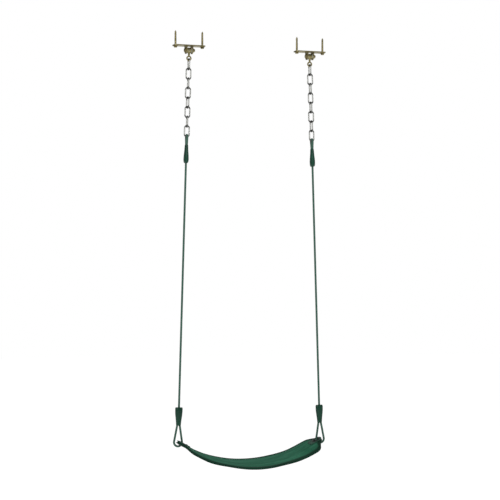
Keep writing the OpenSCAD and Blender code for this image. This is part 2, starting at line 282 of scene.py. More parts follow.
class Shader:
    """A node material built a step at a time. Coordinates are the object's own, in metres."""

    def __init__(self, name):
        self.material = bpy.data.materials.new(name)
        self.material.use_nodes = True
        self.nodes = self.material.node_tree.nodes
        self.links = self.material.node_tree.links
        self.surface = self.nodes["Principled BSDF"]
        self.place = self.nodes.new("ShaderNodeTexCoord").outputs["Object"]

    def set(self, **values):
        for name, value in values.items():
            self.surface.inputs[name.replace("_", " ").title().replace("Ior", "IOR")].default_value = value

    def link(self, output, socket):
        self.links.new(output, socket)

    def stretched(self, scale):
        mapping = self.nodes.new("ShaderNodeMapping")
        mapping.inputs["Scale"].default_value = scale
        self.link(self.place, mapping.inputs["Vector"])
        return mapping.outputs["Vector"]

    def noise(self, scale, detail=3, rough=0.55, coordinates=None):
        node = self.nodes.new("ShaderNodeTexNoise")
        node.inputs["Scale"].default_value = scale
        node.inputs["Detail"].default_value = detail
        node.inputs["Roughness"].default_value = rough
        self.link(coordinates or self.place, node.inputs["Vector"])
        return node.outputs["Fac"]

    def cells(self, scale):
        node = self.nodes.new("ShaderNodeTexVoronoi")
        node.inputs["Scale"].default_value = scale
        self.link(self.place, node.inputs["Vector"])
        return node.outputs["Distance"]

    def painted(self, layer):
        """The colour stored at the mesh's points under this name."""
        node = self.nodes.new("ShaderNodeVertexColor")
        node.layer_name = layer
        return node.outputs["Color"]

    def ramp(self, factor, stops):
        node = self.nodes.new("ShaderNodeValToRGB")
        while len(node.color_ramp.elements) < len(stops):
            node.color_ramp.elements.new(0.5)
        for element, (position, colour) in zip(node.color_ramp.elements, stops):
            element.position = position
            element.color = (*colour, 1)
        self.link(factor, node.inputs["Fac"])
        return node.outputs["Color"]

    def grey(self, factor, low, high, start=0.0, end=1.0):
        node = self.nodes.new("ShaderNodeMapRange")
        for name, value in (("From Min", start), ("From Max", end), ("To Min", low), ("To Max", high)):
            node.inputs[name].default_value = value
        self.link(factor, node.inputs["Value"])
        return node.outputs["Result"]

    def mix(self, factor, first, second, blend="MIX"):
        node = self.nodes.new("ShaderNodeMix")
        node.data_type = "RGBA"
        node.blend_type = blend
        if isinstance(factor, float):
            node.inputs["Factor"].default_value = factor
        else:
            self.link(factor, node.inputs["Factor"])
        for socket, value in ((node.inputs[6], first), (node.inputs[7], second)):
            if isinstance(value, tuple):
                socket.default_value = (*value, 1)
            else:
                self.link(value, socket)
        return node.outputs[2]

    def edge_wear(self, low, high):
        """Bright on convex edges."""
        node = self.nodes.new("ShaderNodeNewGeometry")
        return self.grey(node.outputs["Pointiness"], 0.0, 1.0, low, high)

    def bump(self, height, strength, distance):
        node = self.nodes.new("ShaderNodeBump")
        node.inputs["Strength"].default_value = strength
        node.inputs["Distance"].default_value = distance
        self.link(height, node.inputs["Height"])
        existing = self.surface.inputs["Normal"].links
        if existing:
            self.link(existing[0].from_socket, node.inputs["Normal"])
        self.link(node.outputs["Normal"], self.surface.inputs["Normal"])

    def colour(self, output):
        self.link(output, self.surface.inputs["Base Color"])

    def roughness(self, output):
        self.link(output, self.surface.inputs["Roughness"])


def zinc_yellow():
    """Yellow passivated zinc: a dull gold with rainbow patches and darker handling marks."""
    shader = Shader("yellow_zinc")
    shader.set(metallic=1.0)
    patches = shader.ramp(shader.noise(70, 4), [
        (0.30, (0.13, 0.122, 0.056)), (0.47, (0.21, 0.180, 0.082)), (0.60, (0.26, 0.225, 0.118)),
        (0.74, (0.19, 0.195, 0.128))])
    marks = shader.grey(shader.noise(420, 5, 0.7), 0.0, 0.5, 0.45, 0.75)
    shader.colour(shader.mix(marks, patches, (0.08, 0.068, 0.038)))
    shader.roughness(shader.grey(shader.noise(240, 4), 0.30, 0.55))
    shader.bump(shader.noise(1600, 3), 0.16, 0.0004)
    return shader.material


def galvanised():
    """Bright zinc on drawn wire: mottled grey, duller in patches, with painted shade where links cross."""
    shader = Shader("galvanised_steel")
    shader.set(metallic=1.0)
    mottle = shader.ramp(shader.noise(160, 5, 0.65), [
        (0.32, (0.30, 0.305, 0.29)), (0.52, (0.44, 0.445, 0.42)), (0.72, (0.58, 0.585, 0.56))])
    dull = shader.mix(shader.grey(shader.noise(900, 3), 0.0, 0.35, 0.5, 0.8), mottle, (0.18, 0.182, 0.17))
    shader.colour(shader.mix(1.0, dull, shader.painted("shade"), "MULTIPLY"))
    shader.roughness(shader.grey(shader.noise(300, 4), 0.30, 0.58))
    shader.bump(shader.noise(2200, 4), 0.2, 0.0003)
    return shader.material


def nylon():
    """Natural nylon of the pivot bushings: milky, satin."""
    shader = Shader("nylon")
    shader.set(subsurface_weight=0.15, subsurface_scale=0.003)
    shader.colour(shader.ramp(shader.noise(200, 3), [
        (0.3, (0.62, 0.60, 0.52)), (0.7, (0.76, 0.75, 0.68))]))
    shader.roughness(shader.grey(shader.noise(500, 3), 0.42, 0.6))
    shader.bump(shader.noise(1500, 3), 0.12, 0.0003)
    return shader.material


def rope_fibre():
    """Polypropylene braid: dull green fibres, with painted shade between the yarns."""
    shader = Shader("rope")
    shader.set(sheen_weight=0.25, sheen_roughness=0.4)
    fibre = shader.noise(2600, 4, 0.7, shader.stretched((1, 1, 0.25)))
    body = shader.ramp(fibre, [
        (0.30, (0.006, 0.040, 0.024)), (0.55, (0.012, 0.070, 0.043)), (0.80, (0.034, 0.125, 0.082))])
    worn = shader.mix(shader.grey(shader.noise(14, 3), 0.0, 0.35, 0.5, 0.8), body, (0.035, 0.095, 0.068))
    shader.colour(shader.mix(1.0, worn, shader.painted("yarn"), "MULTIPLY"))
    shader.roughness(shader.grey(fibre, 0.55, 0.8))
    shader.bump(fibre, 0.5, 0.0003)
    return shader.material


def clamp_plastic():
    """Injection-moulded polyethylene: deep green, semi-gloss, with flow marks."""
    shader = Shader("clamp_plastic")
    shader.set(specular_ior_level=0.18)
    flow = shader.noise(45, 4, 0.6, shader.stretched((1, 1, 0.35)))
    body = shader.ramp(flow, [
        (0.30, (0.002, 0.022, 0.012)), (0.60, (0.003, 0.034, 0.019)), (0.80, (0.006, 0.048, 0.027))])
    scuffs = shader.grey(shader.noise(520, 5, 0.75), 0.0, 0.6, 0.58, 0.78)
    shader.colour(shader.mix(scuffs, body, (0.016, 0.070, 0.044)))
    shader.roughness(shader.grey(shader.noise(180, 4), 0.26, 0.46))
    shader.bump(shader.noise(1300, 3), 0.10, 0.0003)
    return shader.material


def belt_plastic():
    """Flexible moulded plastic: satin green with long streaks, painted shade along the rims and underside,
    and painted highlight on the rib crests.
    """
    shader = Shader("belt")
    shader.set(specular_ior_level=0.05)
    streaks = shader.noise(40, 4, 0.55, shader.stretched((0.10, 1.7, 1)))
    clouds = shader.noise(9, 3)
    body = shader.ramp(streaks, [
        (0.32, (0.008, 0.070, 0.037)), (0.50, (0.014, 0.094, 0.052)), (0.72, (0.034, 0.145, 0.088))])
    body = shader.mix(shader.grey(clouds, 0.0, 0.35, 0.45, 0.75), body, (0.022, 0.112, 0.066))
    scuffs = shader.grey(shader.noise(260, 6, 0.75, shader.stretched((0.35, 1, 1))), 0.0, 0.4, 0.60, 0.80)
    worn = shader.mix(scuffs, body, (0.045, 0.15, 0.10))
    shader.colour(shader.mix(1.0, worn, shader.painted("shade"), "MULTIPLY"))
    shader.roughness(shader.grey(shader.noise(120, 5, 0.7), 0.42, 0.66))
    shader.bump(shader.noise(900, 4, 0.6), 0.22, 0.0005)
    return shader.material


def end_plate_paint():
    """Powder coat over steel: dark green, orange peel, worn at the edges."""
    shader = Shader("end_plate_paint")
    shader.set(specular_ior_level=0.3)
    body = shader.ramp(shader.noise(60, 4), [
        (0.3, (0.004, 0.034, 0.020)), (0.7, (0.009, 0.056, 0.034))])
    wear = shader.nodes.new("ShaderNodeMath")
    wear.operation = "MULTIPLY"
    shader.link(shader.edge_wear(0.56, 0.70), wear.inputs[0])
    shader.link(shader.grey(shader.noise(300, 4, 0.7), 0.0, 1.0, 0.45, 0.65), wear.inputs[1])
    shader.colour(shader.mix(wear.outputs[0], body, (0.05, 0.065, 0.058)))
    shader.roughness(shader.grey(shader.noise(420, 3), 0.40, 0.58))
    shader.bump(shader.cells(900), 0.12, 0.0003)
    return shader.material


def black_nylon():
    """Black moulded nylon of the belt's eyelets."""
    shader = Shader("eyelet_nylon")
    shader.set(specular_ior_level=0.22)
    shader.colour(shader.ramp(shader.noise(150, 3), [
        (0.3, (0.008, 0.010, 0.009)), (0.7, (0.022, 0.027, 0.024))]))
    shader.roughness(shader.grey(shader.noise(500, 4), 0.32, 0.5))
    shader.bump(shader.noise(1400, 3), 0.1, 0.0003)
    return shader.material


def rivet_steel():
    """Steel rivets under the same green paint, rubbed thin on their heads."""
    shader = Shader("rivet_steel")
    shader.set(specular_ior_level=0.35)
    shader.colour(shader.ramp(shader.noise(500, 5, 0.7), [
        (0.3, (0.004, 0.030, 0.018)), (0.55, (0.008, 0.050, 0.031)), (0.80, (0.05, 0.075, 0.065))]))
    shader.roughness(shader.grey(shader.noise(700, 4), 0.34, 0.55))
    shader.bump(shader.noise(1800, 4), 0.15, 0.0003)
    return shader.material


def floor_paint():
    """Plain white studio paper, evenly lit."""
    shader = Shader("floor")
    shader.set(roughness=0.9, specular_ior_level=0.05, emission_strength=FLOOR_GLOW)
    shader.surface.inputs["Emission Color"].default_value = (1, 1, 1, 1)
    shader.colour(shader.ramp(shader.noise(2, 3), [
        (0.3, (0.86, 0.86, 0.855)), (0.7, (0.90, 0.90, 0.895))]))
    return shader.material


# ---- ropes ----

BRAID_YARNS = 8
BRAID_PITCH = 0.034
YARN_RISE = 0.00038
RING_STEP = 0.0011
RUN_IN_CLAMP = 0.022
LOOP_STRAIGHT = 0.006


def bend_points(bend_r, reach):
    """Points round a bend in a plane, from one leg to the other, as in the CAD route."""
    lean = math.atan2(reach, STRAND_X) - math.acos(bend_r / math.hypot(reach, STRAND_X))
    steps = 48
    turn = (math.pi + 2 * lean) / steps
    return [(bend_r * math.cos(step * turn - lean), bend_r * math.sin(step * turn - lean))
            for step in range(steps + 1)]


def upper_loop_route():
    inside = UPPER_CLAMP_S + STRAND_IN_CLAMP
    bend = [(0, across, up - UPPER_BEND_S)
            for across, up in bend_points(UPPER_BEND_R, UPPER_CLAMP_S - UPPER_BEND_S)]
    return [(0, STRAND_X, -inside), (0, STRAND_X, -UPPER_CLAMP_S - LOOP_STRAIGHT), *bend,
            (0, -STRAND_X, -UPPER_CLAMP_S - LOOP_STRAIGHT), (0, -STRAND_X, -inside)]


def lower_loop_route():
    inside = LOWER_CLAMP_S - STRAND_IN_CLAMP
    bend = [(-across, 0, -up - LOWER_BEND_S)
            for across, up in bend_points(LOWER_BEND_R, LOWER_BEND_S - LOWER_CLAMP_S)]
    return [(-STRAND_X, 0, -inside), (-STRAND_X, 0, -LOWER_CLAMP_S + LOOP_STRAIGHT), *bend,
            (STRAND_X, 0, -LOWER_CLAMP_S + LOOP_STRAIGHT), (STRAND_X, 0, -inside)]


def braid_height(turns, travel):
    """How far the top yarn stands up, 0 to 1, over a braid of two crossing sets of yarns."""
    around = turns * BRAID_YARNS / math.tau
    along = travel * BRAID_YARNS / BRAID_PITCH
    right, left = around + along, around - along
    over = (np.floor(right) + np.floor(left)) % 2 < 1
    across = np.where(over, right % 1, left % 1)
    lengthways = np.where(over, left % 1, right % 1)
    crown = np.sqrt(np.clip(1 - (2 * across - 1) ** 2, 0, 1))
    return crown * (0.55 + 0.45 * np.sin(math.pi * lengthways))


def braided_tube(name, route, place, first_axis, material):
    """A braided rope along a route, with its yarns as real relief and a painted shade between them."""
    points, travel = resample(route, RING_STEP)
    segments = 32
    turns = np.linspace(0, math.tau, segments, endpoint=False)
    heights = [braid_height(turns, distance) for distance in travel]
    axes = carried_axes(points, first_axis)
    part = tube(points, axes, lambda index, _: ROPE_R - YARN_RISE * (1 - heights[index]), segments)
    piece = make_piece(name, *part, place, material, "ropes", "rope")
    # The yarn colour is painted shade in the grooves between the yarns, with a little painted light on
    # their crowns
    yarn = piece.data.color_attributes.new("yarn", "FLOAT_COLOR", "POINT")
    shade = 0.35 + 0.75 * np.clip(np.concatenate(heights), 0, 1)
    colours = np.ones((len(piece.data.vertices), 4))
    colours[:len(shade), :3] = shade[:, None]
    yarn.data.foreach_set("color", colours.ravel())
    return piece


def make_ropes(material):
    for side in SIDES:
        place = line_frame(side, 0)
        run = [(0, 0, -ROPE_TOP_S + RUN_IN_CLAMP), (0, 0, -ROPE_END_S - RUN_IN_CLAMP)]
        rope = braided_tube(f"{side}_rope_run", run, place, (1, 0, 0), material)
        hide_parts(f"{side}_rope")
        braided_tube(f"{side}_rope_upper_loop", upper_loop_route(), place, (1, 0, 0), material)
        braided_tube(f"{side}_rope_lower_loop", lower_loop_route(), place, (0, 1, 0), material)


# ---- rope clamps ----

CLAMP_NECK = (0.0195, 0.0125)
CLAMP_WIDE = (0.0300, 0.0205)
CLAMP_SWELL_END = 0.79
CLAMP_TAPER_START = 0.70
CLAMP_NECK_ROUND = 0.05
CLAMP_WIDE_ROUND = 0.07
CLAMP_SEGMENTS = 64
CLAMP_SQUARENESS = 0.86
CLAMP_PARTING_RISE = 0.00035
CLAMP_LIP_RISE = 0.0005
CLAMP_PANEL_DEPTH = 0.0007
DISH_DEPTH = 0.0012
ROPE_HOLE_DEPTH = 0.0022


def clamp_size(t):
    """Half width and half depth at a share of the clamp's length, from its neck."""
    grown = min(t / CLAMP_SWELL_END, 1)
    growth = 0.65 * smooth_step(grown) + 0.35 * grown
    width, depth = (neck + (wide - neck) * growth for neck, wide in zip(CLAMP_NECK, CLAMP_WIDE))
    if t < CLAMP_NECK_ROUND:
        narrow = 0.0016 * (1 - t / CLAMP_NECK_ROUND) ** 2
        width, depth = width - narrow, depth - narrow
    if t > CLAMP_TAPER_START:
        depth *= 1 - 0.28 * ((t - CLAMP_TAPER_START) / (1 - CLAMP_TAPER_START)) ** 1.6
    if t > 1 - CLAMP_WIDE_ROUND:
        narrow = ((t - 1 + CLAMP_WIDE_ROUND) / CLAMP_WIDE_ROUND) ** 2
        width, depth = width - 0.0032 * narrow, depth - 0.0014 * narrow
    return width / 2, depth / 2


def clamp_ring(t):
    """One oval ring, with the parting line, the lip and the sunk panels worked in."""
    half_width, half_depth = clamp_size(t)
    lip = CLAMP_LIP_RISE * math.exp(-((t - 0.90) / 0.018) ** 2)
    panel_share = smooth_step(min(t - 0.20, 0.80 - t) / 0.04)
    ring = []
    for step in range(CLAMP_SEGMENTS):
        turn = math.tau * step / CLAMP_SEGMENTS
        across = math.copysign(abs(math.cos(turn)) ** CLAMP_SQUARENESS, math.cos(turn))
        out = math.copysign(abs(math.sin(turn)) ** CLAMP_SQUARENESS, math.sin(turn))
        ridge = CLAMP_PARTING_RISE if step % (CLAMP_SEGMENTS // 2) == 0 else 0
        inside = panel_share * smooth_step((0.74 - abs(across)) / 0.08)
        panel = -CLAMP_PANEL_DEPTH * inside if abs(out) > 0.3 else 0
        ring.append((across * (half_width + ridge + lip),
                     math.copysign(abs(out) * (half_depth + lip + panel), out), -t * CLAMP_LENGTH))
    return ring


def close_clamp_end(points, faces, rim, ovals, centre_z, facing_up):
    """Steps in from a rim over smaller ovals (half width, half depth, z), then to a centre."""
    pairs = [(step, (step + 1) % CLAMP_SEGMENTS) for step in range(CLAMP_SEGMENTS)]
    if not facing_up:
        pairs = [(after, step) for step, after in pairs]
    for half_width, half_depth, z in ovals:
        start = len(points)
        for step in range(CLAMP_SEGMENTS):
            turn = math.tau * step / CLAMP_SEGMENTS
            points.append((half_width * math.cos(turn), half_depth * math.sin(turn), z))
        faces += [[rim[first], rim[second], start + second, start + first] for first, second in pairs]
        rim = list(range(start, start + CLAMP_SEGMENTS))
    points.append((0, 0, centre_z))
    faces += [[rim[first], rim[second], len(points) - 1] for first, second in pairs]


def clamp_part():
    """A flat oval moulding: narrow at the loop (Z = 0), wide where the rope leaves it.

    It has a parting line round its thin sides, a sunk panel on each flat face and a lip
    round the wide end. The ends are dished in to meet the rope."""
    rings = [clamp_ring(step / 60) for step in range(61)]
    points = [point for ring in rings for point in ring]
    faces = [face[::-1] for face in grid_faces(len(rings), CLAMP_SEGMENTS)]
    half_width, half_depth = clamp_size(0)
    close_clamp_end(points, faces, list(range(CLAMP_SEGMENTS)),
                    [(half_width * share, half_depth * share, -DISH_DEPTH) for share in (0.80, 0.55)],
                    -DISH_DEPTH, True)
    wide_end = (len(rings) - 1) * CLAMP_SEGMENTS
    hole_bottom = -CLAMP_LENGTH + ROPE_HOLE_DEPTH
    close_clamp_end(points, faces, list(range(wide_end, wide_end + CLAMP_SEGMENTS)),
                    [(0.0059, 0.0059, -CLAMP_LENGTH + 0.0003), (0.0048, 0.0048, hole_bottom)],
                    hole_bottom, False)
    return points, faces


def make_clamps(material):
    part = clamp_part()
    for side in SIDES:
        upper = line_frame(side, UPPER_CLAMP_S) @ Matrix.Rotation(math.pi / 2, 4, "Z")
        lower = line_frame(side, LOWER_CLAMP_S) @ Matrix.Rotation(math.pi, 4, "X")
        for where, place in (("upper", upper), ("lower", lower)):
            piece = make_piece(f"{side}_{where}_rope_clamp", *part, place, material, "ropes",
                               "clamp_plastic")
            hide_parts(f"{side}_{where}_clamp")


# ---- chains ----

def link_route():
    """The middle line of a link, in the XZ plane, clockwise from the middle of a leg."""
    arc_z = LINK_HALF - LINK_BEND_R
    route = []
    for sign in (1, -1):
        for step in range(25):
            turn = math.pi * step / 24
            route.append((sign * LINK_BEND_R * math.cos(turn), 0,
                          sign * (arc_z + LINK_BEND_R * math.sin(turn))))
        for step in range(1, 8):
            route.append((-sign * LINK_BEND_R, 0, sign * arc_z * (1 - step / 4)))
    return np.array(route)


WELD_SWELL = 0.00042
WELD_NOTCH = 0.00020


def link_part():
    """A welded link: round wire, a swollen weld in the middle of one leg."""
    route = link_route()
    count = len(route)
    along = np.roll(route, -1, axis=0) - np.roll(route, 1, axis=0)
    along /= np.linalg.norm(along, axis=1)[:, None]
    sideways = np.array([0.0, 1.0, 0.0])
    segments = 20
    turns = np.linspace(0, math.tau, segments, endpoint=False)
    points = []
    for index in range(count):
        centre = route[index]
        outward = np.cross(along[index], sideways)
        weld_distance = abs(centre[2]) if centre[0] > 0 else 1.0
        swell = WELD_SWELL * math.exp(-(weld_distance / 0.0016) ** 2)
        notch = -WELD_NOTCH * math.exp(-((weld_distance - 0.0031) / 0.0006) ** 2)
        radius = LINK_WIRE_R - 0.00002 + swell + notch
        points += [tuple(centre + radius * (math.cos(turn) * outward + math.sin(turn) * sideways))
                   for turn in turns]
    return points, grid_faces(count, segments, closed_rows=True)


LINK_TWIST = 0.13
# Painted shade at each link's ends, where the next links cross it
LINK_END_SHADE_DEPTH = 0.78
LINK_END_SHADE_START_Z = 0.0105
LINK_END_SHADE_LENGTH = 0.0060


def paint_link_end_shade(link, part_points):
    """Stores a painted shade at the link's points: dark at its ends, where the next links cross it."""
    shade = link.data.color_attributes.new("shade", "FLOAT_COLOR", "POINT")
    for index, point in enumerate(part_points):
        grey = 1 - LINK_END_SHADE_DEPTH * smooth_step((abs(point[2]) - LINK_END_SHADE_START_Z) / LINK_END_SHADE_LENGTH)
        shade.data[index].color = (grey, grey, grey, 1)


def make_chains(material):
    """Links turned a quarter each, the first edge-on, with small twists as a hanging chain has."""
    part = link_part()
    for side in SIDES:
        for number in range(1, LINK_COUNT + 1):
            turned = math.pi / 2 if number % 2 else 0
            flip = math.pi if number % 4 > 1 else 0
            twist = LINK_TWIST * math.sin(1.7 * number + SIDES[side]) if number > 1 else 0
            place = (line_frame(side, (number - 1) * LINK_PITCH + LINK_HALF)
                     @ Matrix.Rotation(turned + flip + twist, 4, "Z"))
            link = make_piece(f"{side}_chain_link_{number}", *part, place, material,
                              "upper_chains" if number <= 4 else "lower_chains", "galvanised_steel")
            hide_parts(f"{side}_link_{number}")
            paint_link_end_shade(link, part[0])


# ---- hanger fasteners ----

def hexagon_part(flats, height, chamfer=0.0008):
    """A hexagon standing on Z = 0, its top corners turned down to a circle."""
    corner_r = flats / 2 / math.cos(math.pi / 6)
    segments = 72
    rings = []
    top_r = flats / 2 * 0.94
    for z, limit in ((0, corner_r), (height - 2 * chamfer, corner_r), (height - chamfer, flats / 2 * 1.07),
                     (height - 0.3 * chamfer, flats / 2), (height, top_r)):
        ring = []
        for step in range(segments):
            turn = math.tau * step / segments
            within = (turn + math.pi / 6) % (math.pi / 3) - math.pi / 6
            radius = min(flats / 2 / math.cos(within), limit)
            ring.append((radius * math.cos(turn + math.pi / 6), radius * math.sin(turn + math.pi / 6), z))
        rings.append(ring)
    points = [point for ring in rings for point in ring]
    faces = grid_faces(len(rings), segments)
    bottom, top = len(points), len(points) + 1
    points += [(0, 0, 0), (0, 0, height)]
    last = (len(rings) - 1) * segments
    for step in range(segments):
        after = (step + 1) % segments
        faces.append([bottom, after, step])
        faces.append([top, last + step, last + after])
    return points, faces


def threaded_part(radius, depth, pitch, start, end, tip=0.0):
    """A cut thread along +Z that fades in at its start, then a point of the tip's length."""
    segments = 36
    rows = int((end - start) / (pitch / 10)) + 1
    points = []
    for row in range(rows):
        z = start + (end - start) * row / (rows - 1)
        fade = smooth_step((z - start) / pitch)
        shrink = 1.0
        if tip and z > end - tip:
            shrink = max(0.06, 1 - ((z - end + tip) / tip) ** 1.3)
        for step in range(segments):
            turn = step / segments
            phase = (z / pitch - turn) % 1
            groove = depth * fade * min(1, 1.6 * abs(2 * phase - 1)) * min(1, shrink * 2)
            size = (radius - depth * fade) * shrink + groove
            points.append((size * math.cos(math.tau * turn), size * math.sin(math.tau * turn), z))
    faces = grid_faces(rows, segments)
    faces.append(list(range(segments - 1, -1, -1)))
    faces.append([(rows - 1) * segments + step for step in range(segments)])
    return points, faces


def rod_part(radius, start, end, chamfer=0.0003):
    return solid_lathe([(0, start), (radius - chamfer, start), (radius, start + chamfer),
                        (radius, end - chamfer), (radius - chamfer, end), (0, end)], 36)


LAG_R = 0.00397
LAG_SPACING = 0.112
PLATE_BOTTOM = -0.004
WASHER_H = 0.0016
LAG_HEAD_H = 0.0055
LAG_HEAD_FLATS = 0.01264
LAG_FLANGE_R = 0.0063
LAG_FLANGE_H = 0.0008
LAG_THREAD_DEPTH = 0.0009
LAG_THREAD_PITCH = 0.0029
LAG_TIP_LENGTH = 0.008
LAG_SHANK_H = 0.030
LAG_REACH = 0.058
PIVOT_BOLT_R = 0.00475
HEX_FLATS = 0.01429
EAR_OUTER_X = 0.0141
PIVOT_HEAD_H = 0.0055
PIVOT_THREAD_DEPTH = 0.0007
PIVOT_THREAD_PITCH = 0.0016
NUT_H = 0.0065
NUT_COLLAR_H = 0.0019
BOLT_BEYOND_NUT = 0.002


def lag_screw_part():
    """A flanged hexagon head below the plate, a plain shank and a wood thread with a point."""
    head_z = PLATE_BOTTOM - WASHER_H
    head = moved(hexagon_part(LAG_HEAD_FLATS, LAG_HEAD_H - LAG_FLANGE_H),
                 Matrix.Translation((0, 0, head_z - LAG_FLANGE_H)) @ Matrix.Rotation(math.pi, 4, "X"))
    flange = solid_lathe([(0, head_z - 0.0010), (LAG_FLANGE_R - 0.0003, head_z - 0.0010),
                          (LAG_FLANGE_R, head_z - 0.0007), (LAG_FLANGE_R, head_z), (0, head_z)], 48)
    thread = threaded_part(LAG_R, LAG_THREAD_DEPTH, LAG_THREAD_PITCH, LAG_SHANK_H, LAG_REACH,
                           LAG_TIP_LENGTH)
    return join_parts([head, flange, rod_part(LAG_R, head_z, LAG_SHANK_H + 0.0005), thread])


def make_lag_screws(material):
    """Two a side, as a pair, each stopped at its own turn."""
    screw = lag_screw_part()
    for side, sign in SIDES.items():
        both = join_parts([moved(screw, Matrix.Translation((x, 0, 0)) @ Matrix.Rotation(turn, 4, "Z"))
                           for x, turn in ((-LAG_SPACING / 2, 0.3), (LAG_SPACING / 2, 1.1))])
        place = Matrix.Translation((sign * HANGER_X, 0, 0))
        piece = make_piece(f"{side}_lag_screw_pair", *both, place, material, "hangers",
                           "yellow_zinc", smooth=False)
        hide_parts(f"{side}_lag_screws")


def pivot_bolt_part():
    """Head at -X, plain shank through both ears, thread under and past the nut."""
    turn_x = Matrix.Rotation(math.pi / 2, 4, "Y")
    head = moved(hexagon_part(HEX_FLATS, PIVOT_HEAD_H), Matrix.Translation((-EAR_OUTER_X, 0, 0))
                 @ Matrix.Rotation(-math.pi / 2, 4, "Y"))
    end_x = EAR_OUTER_X + NUT_H + NUT_COLLAR_H + BOLT_BEYOND_NUT
    shank = rod_part(PIVOT_BOLT_R, -EAR_OUTER_X, EAR_OUTER_X + 0.001)
    thread = threaded_part(PIVOT_BOLT_R, PIVOT_THREAD_DEPTH, PIVOT_THREAD_PITCH, EAR_OUTER_X, end_x)
    return join_parts([head, moved(shank, turn_x), moved(thread, turn_x)])


def lock_nut_part():
    """A hexagon with a round collar that holds the nylon insert."""
    collar = lathe([(0.0049, NUT_H - 0.0006), (0.0070, NUT_H - 0.0006), (0.0070, NUT_H + 0.0009),
                    (0.0066, NUT_H + 0.0016), (0.0058, NUT_H + NUT_COLLAR_H),
                    (0.0050, NUT_H + NUT_COLLAR_H)], 48)
    return join_parts([hexagon_part(HEX_FLATS, NUT_H), collar])


def make_pivot_bolts(material):
    for side in SIDES:
        place = pivot_frame(side)
        bolt = make_piece(f"{side}_pivot_bolt_hex", *pivot_bolt_part(), place,
                          material, "hangers", "yellow_zinc", smooth=False)
        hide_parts(f"{side}_pivot_bolt")
        nut_place = (place @ Matrix.Translation((EAR_OUTER_X, 0, 0))
                     @ Matrix.Rotation(math.pi / 2, 4, "Y"))
        nut = make_piece(f"{side}_pivot_lock_nut", *lock_nut_part(), nut_place,
                         material, "hangers", "yellow_zinc", smooth=False)
        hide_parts(f"{side}_pivot_nut")


EAR_HALF_WIDTH = 0.015
WELD_R = 0.0016
WELD_RIPPLE = 0.00022
WELD_RIPPLE_PITCH = 0.0016


def weld_bead(x):
    """A rippled bead along Y, rounded off at both ends."""
    half = EAR_HALF_WIDTH - 0.0008
    points, travel = resample([(x, -half, PLATE_BOTTOM), (x, half, PLATE_BOTTOM)], 0.0003)

    def radius_at(index, turns):
        from_end = min(travel[index], travel[-1] - travel[index])
        share = min(1, math.sqrt(max(0.02, from_end / 0.002)))
        ripple = WELD_RIPPLE * abs(math.sin(math.pi * travel[index] / WELD_RIPPLE_PITCH))
        return np.full(len(turns), (WELD_R - ripple) * share)

    return tube(points, carried_axes(points, (1, 0, 0)), radius_at, 20)


def make_welds(material):
    """A weld bead in the corner between each ear and its plate."""
    for side, sign in SIDES.items():
        beads = [weld_bead(end * (EAR_OUTER_X + 0.0002)) for end in (-1, 1)]
        place = Matrix.Translation((sign * HANGER_X, 0, 0))
        make_piece(f"{side}_ear_welds", *join_parts(beads), place, material, "hangers", "yellow_zinc")


EYE_RING_Z = -0.032
EYE_RING_R = 0.008
EYE_WIRE_R = 0.003
EYE_BORE_R = 0.0066


def swing_eye_part(turn_x):
    """Barrel, neck and ring as overlapping solids."""
    barrel = moved(solid_lathe([(0, -0.009), (0.0099, -0.009), (0.0105, -0.0084), (0.0105, 0.0084),
                                (0.0099, 0.009), (0, 0.009)], 64), turn_x)
    neck = solid_lathe([(0, -0.0262), (0.0036, -0.0262), (0.0036, -0.0235), (0.0042, -0.0150),
                        (0.0064, -0.0095), (0.0064, -0.005), (0, -0.005)], 48)
    ring_points = [(EYE_RING_R + EYE_WIRE_R * math.cos(t), EYE_WIRE_R * math.sin(t))
                   for t in (math.tau * step / 24 for step in range(24))]
    ring = moved(lathe(ring_points, 64),
                 Matrix.Translation((0, 0, EYE_RING_Z)) @ Matrix.Rotation(math.pi / 2, 4, "X"))
    return join_parts([barrel, neck, ring])


def make_swing_eyes(material):
    """Forged eyes: the solids are run into each other, then the bore is cut."""
    turn_x = Matrix.Rotation(math.pi / 2, 4, "Y")
    for side in SIDES:
        eye = make_piece(f"{side}_forged_eye", *swing_eye_part(turn_x), pivot_frame(side),
                         material, "upper_chains", "yellow_zinc")
        remesh = eye.modifiers.new("remesh", "REMESH")
        remesh.mode = "VOXEL"
        remesh.voxel_size = 0.00042
        smooth = eye.modifiers.new("smooth", "SMOOTH")
        smooth.factor = 0.6
        smooth.iterations = 8
        bore = make_piece(f"{side}_bore_cutter", *moved(rod_part(EYE_BORE_R, -0.02, 0.02), turn_x),
                          pivot_frame(side), material, "upper_chains", "yellow_zinc")
        cut_with(eye, bore, "FAST")
        eye.data.shade_smooth()
        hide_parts(f"{side}_swing_eye")


# ---- belt ----

RIM_R = 0.0043
BELT_STRAIGHT = EYELET_X + BELT_TIP_R - 0.0002
# Distances in from an edge at which the belt has points, close together round its bead
EDGE_STEPS = [0.0, 0.0002, 0.0007, 0.0014, 0.0023, 0.0033, 0.0043, 0.0053, 0.0063, 0.0072, 0.0079,
              0.0083, 0.0087, 0.0095, 0.0110]
MIDDLE_STEPS = 120
RIB_COUNT = 11
RIB_RISE = 0.00045
RIB_PITCH = 2 * (BELT_HALF_WIDTH - 0.020) / RIB_COUNT
RIPPLE_RISE = 0.0008
MIDDLE_DROOP = 0.0020
END_DROOP = 0.0045
FLAT_HALF_WIDTH = 0.025
# Painted shade of the rims and of the underside
RIM_SHADE = 0.24
BOTTOM_SHADE = 0.55


